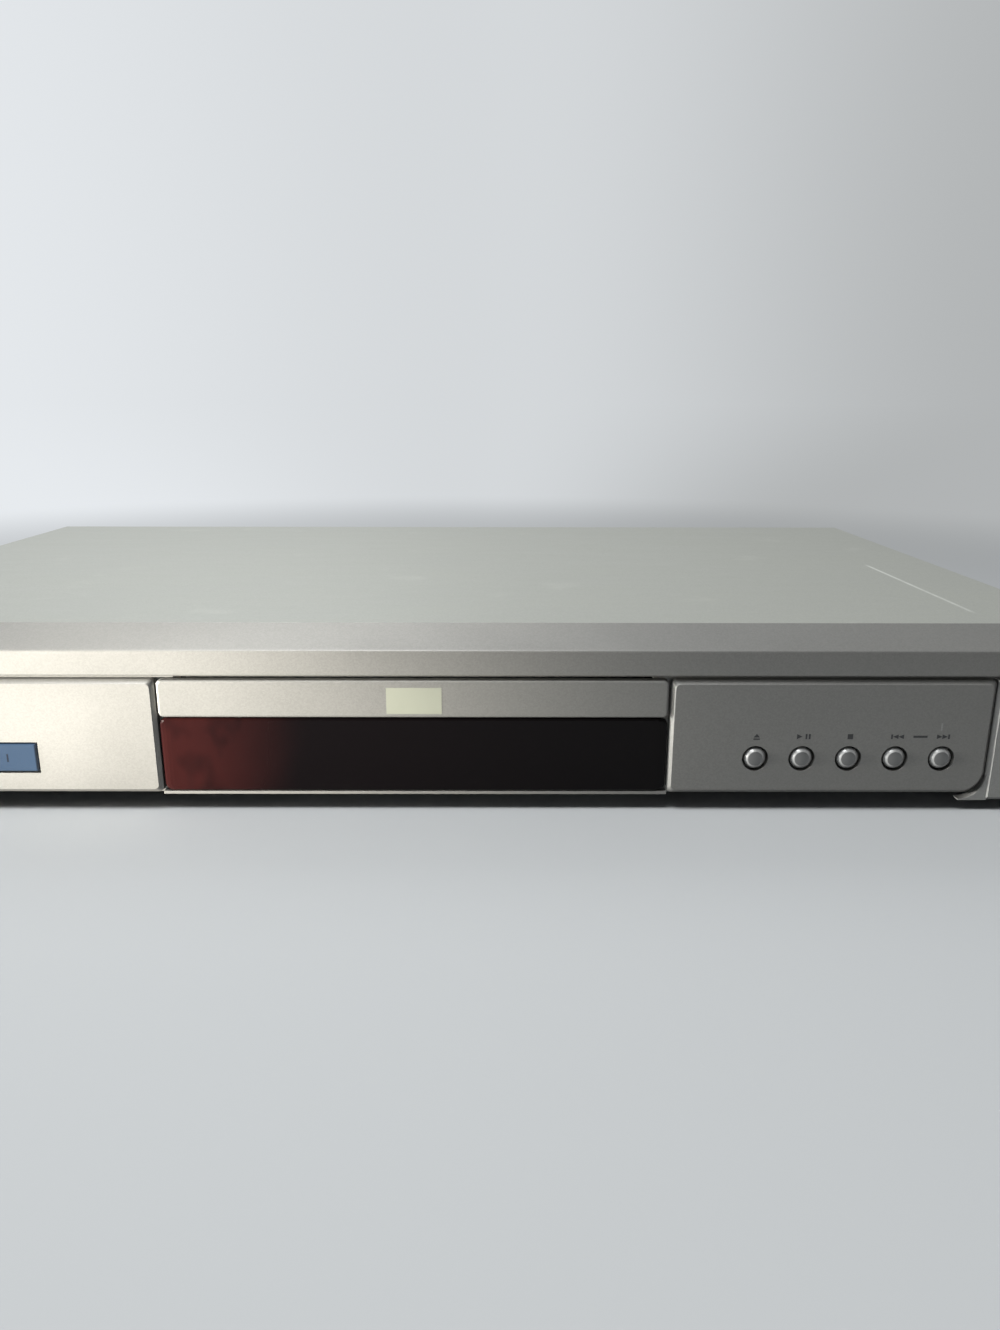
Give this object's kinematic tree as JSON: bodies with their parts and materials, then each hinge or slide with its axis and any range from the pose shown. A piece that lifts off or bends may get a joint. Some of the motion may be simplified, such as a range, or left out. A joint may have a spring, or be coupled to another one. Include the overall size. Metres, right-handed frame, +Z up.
{
  "type": "disc player with tray",
  "caption": "Slim full-width disc player: painted cover, silver front with a sliding disc tray, smoked display window, push buttons and a rear connector panel.",
  "frame": {"origin": "centre of the footprint, at the level the feet stand on", "axes": "+X to the right seen from the front, +Y from the front to the rear, +Z up"},
  "size_m": [0.4328, 0.2566, 0.0585],
  "materials": {
    "bare_steel": "zinc-plated sheet",
    "cover_paint": "satin silver paint",
    "silver_plastic": "satin metallic silver",
    "cap_plastic": "satin metallic silver",
    "smoked_window": "polished smoked acrylic",
    "black_plastic": "moulded",
    "pad_rubber": "felted rubber",
    "screw_steel": "plated",
    "board_green": "solder mask",
    "board_tan": "bare laminate",
    "chip_black": "moulded epoxy",
    "winding_tape": "tape and ferrite",
    "can_sleeve": "shrink sleeve",
    "sink_aluminium": "bare extrusion",
    "jack_nickel": "nickel plate",
    "collar_red": "moulded",
    "collar_white": "moulded",
    "collar_yellow": "moulded",
    "collar_green": "moulded",
    "collar_blue": "moulded",
    "display_glass": "vacuum display glass",
    "ribbon_plastic": "flat cable",
    "loader_plastic": "moulded",
    "motor_steel": "drawn can",
    "belt_rubber": "moulded",
    "tray_plastic": "moulded grey",
    "gear_plastic": "acetal",
    "rod_steel": "ground",
    "power_blue": "translucent blue",
    "button_silver": "metallised"
  },
  "bodies": {
    "root": {"chassis_base": "bare_steel", "top_cover": "cover_paint", "front_fascia": "silver_plastic", "left_panel": "silver_plastic", "right_panel": "silver_plastic", "left_end_cap": "cap_plastic", "right_end_cap": "cap_plastic", "display_window": "smoked_window", "rear_panel": "bare_steel", "feet": "black_plastic", "foot_pads": "pad_rubber", "cover_screws": "screw_steel", "rear_screws": "screw_steel", "main_board": "board_green", "board_chips": "chip_black", "power_board": "board_tan", "transformer": "winding_tape", "capacitors": "can_sleeve", "heat_sink": "sink_aluminium", "mains_inlet": "black_plastic", "jack_block": "black_plastic", "jack_sleeves": "jack_nickel", "red_collars": "collar_red", "white_collar": "collar_white", "yellow_collar": "collar_yellow", "green_collar": "collar_green", "blue_collar": "collar_blue", "s_video_jack": "black_plastic", "optical_jack": "black_plastic", "front_board": "board_green", "tact_switches": "black_plastic", "display_module": "display_glass", "ribbon_cable": "ribbon_plastic", "board_screws": "screw_steel", "loader_frame": "loader_plastic", "clamp_bridge": "bare_steel", "loader_screws": "screw_steel", "tray_motor": "motor_steel", "drive_belt": "belt_rubber", "traverse_axle": "rod_steel"},
    "tray": {"disc_tray": "tray_plastic", "tray_front": "silver_plastic"},
    "tray_gear": {"tray_gear": "gear_plastic"},
    "pulley_gear": {"pulley_gear": "gear_plastic"},
    "motor_pulley": {"motor_pulley": "gear_plastic"},
    "cam_slider": {"cam_slider": "gear_plastic"},
    "traverse": {"traverse_plate": "bare_steel", "spindle_motor": "motor_steel", "guide_rods": "rod_steel", "sled_motor": "motor_steel"},
    "turntable": {"turntable": "black_plastic"},
    "clamp_puck": {"clamp_puck": "gear_plastic"},
    "pickup": {"pickup_body": "chip_black"},
    "lead_screw": {"lead_screw": "rod_steel"},
    "power_button": {"power_button": "power_blue"},
    "eject_button": {"eject_button": "button_silver"},
    "stop_button": {"stop_button": "button_silver"},
    "play_button": {"play_button": "button_silver"},
    "back_button": {"back_button": "button_silver"},
    "next_button": {"next_button": "button_silver"}
  },
  "joints": [
    {"name": "tray_slide", "type": "slide", "parent": "root", "child": "tray", "axis": [0, -1, 0], "range_m": [0, 0.14]},
    {"name": "tray_gear_spin", "type": "hinge", "parent": "root", "child": "tray_gear", "pos_m": [-0.05, -0.0977, 0.03565], "axis": [0, 0, 1], "range_deg": [0, 669.5]},
    {"name": "pulley_gear_spin", "type": "hinge", "parent": "root", "child": "pulley_gear", "pos_m": [-0.032, -0.0977, 0.03365], "axis": [0, 0, 1], "range_deg": [-1338, 0]},
    {"name": "motor_pulley_spin", "type": "hinge", "parent": "root", "child": "motor_pulley", "pos_m": [0.002, -0.0977, 0.03165], "axis": [0, 0, 1], "range_deg": [-4202.7, 0]},
    {"name": "traverse_tilt", "type": "hinge", "parent": "root", "child": "traverse", "pos_m": [0, 0.0413, 0.024], "axis": [1, 0, 0], "range_deg": [0, 5]},
    {"name": "cam_slide", "type": "slide", "parent": "root", "child": "cam_slider", "axis": [-1, 0, 0], "range_m": [0, 0.0201]},
    {"name": "turntable_spin", "type": "hinge", "parent": "traverse", "child": "turntable", "pos_m": [0, -0.0539, 0.039], "axis": [0, 0, 1], "continuous": true},
    {"name": "clamp_spin", "type": "hinge", "parent": "root", "child": "clamp_puck", "pos_m": [0, -0.0539, 0.046], "axis": [0, 0, 1], "continuous": true},
    {"name": "pickup_slide", "type": "slide", "parent": "traverse", "child": "pickup", "axis": [0, 1, 0], "range_m": [0, 0.034]},
    {"name": "lead_screw_spin", "type": "hinge", "parent": "traverse", "child": "lead_screw", "pos_m": [-0.0345, -0.0299, 0.0322], "axis": [0, 1, 0], "range_deg": [0, 2041.1]},
    {"name": "eject_press", "type": "slide", "parent": "root", "child": "eject_button", "axis": [0, 1, 0], "range_m": [0, 0.0008], "stiffness_N_per_m": 800},
    {"name": "stop_press", "type": "slide", "parent": "root", "child": "stop_button", "axis": [0, 1, 0], "range_m": [0, 0.0008], "stiffness_N_per_m": 800},
    {"name": "play_press", "type": "slide", "parent": "root", "child": "play_button", "axis": [0, 1, 0], "range_m": [0, 0.0008], "stiffness_N_per_m": 800},
    {"name": "back_press", "type": "slide", "parent": "root", "child": "back_button", "axis": [0, 1, 0], "range_m": [0, 0.0008], "stiffness_N_per_m": 800},
    {"name": "next_press", "type": "slide", "parent": "root", "child": "next_button", "axis": [0, 1, 0], "range_m": [0, 0.0008], "stiffness_N_per_m": 800},
    {"name": "power_press", "type": "slide", "parent": "root", "child": "power_button", "axis": [0, 1, 0], "range_m": [0, 0.0008], "stiffness_N_per_m": 800}
  ],
  "couplings": [
    {"joint": "tray_gear_spin", "follows": "tray_slide", "rad_per_m": 83.333},
    {"joint": "pulley_gear_spin", "follows": "tray_slide", "rad_per_m": -166.67},
    {"joint": "motor_pulley_spin", "follows": "tray_slide", "rad_per_m": -523.81},
    {"joint": "cam_slide", "follows": "traverse_tilt", "m_per_rad": 0.22918},
    {"joint": "clamp_spin", "follows": "turntable_spin", "ratio": 1},
    {"joint": "lead_screw_spin", "follows": "pickup_slide", "rad_per_m": 1047.2}
  ]
}
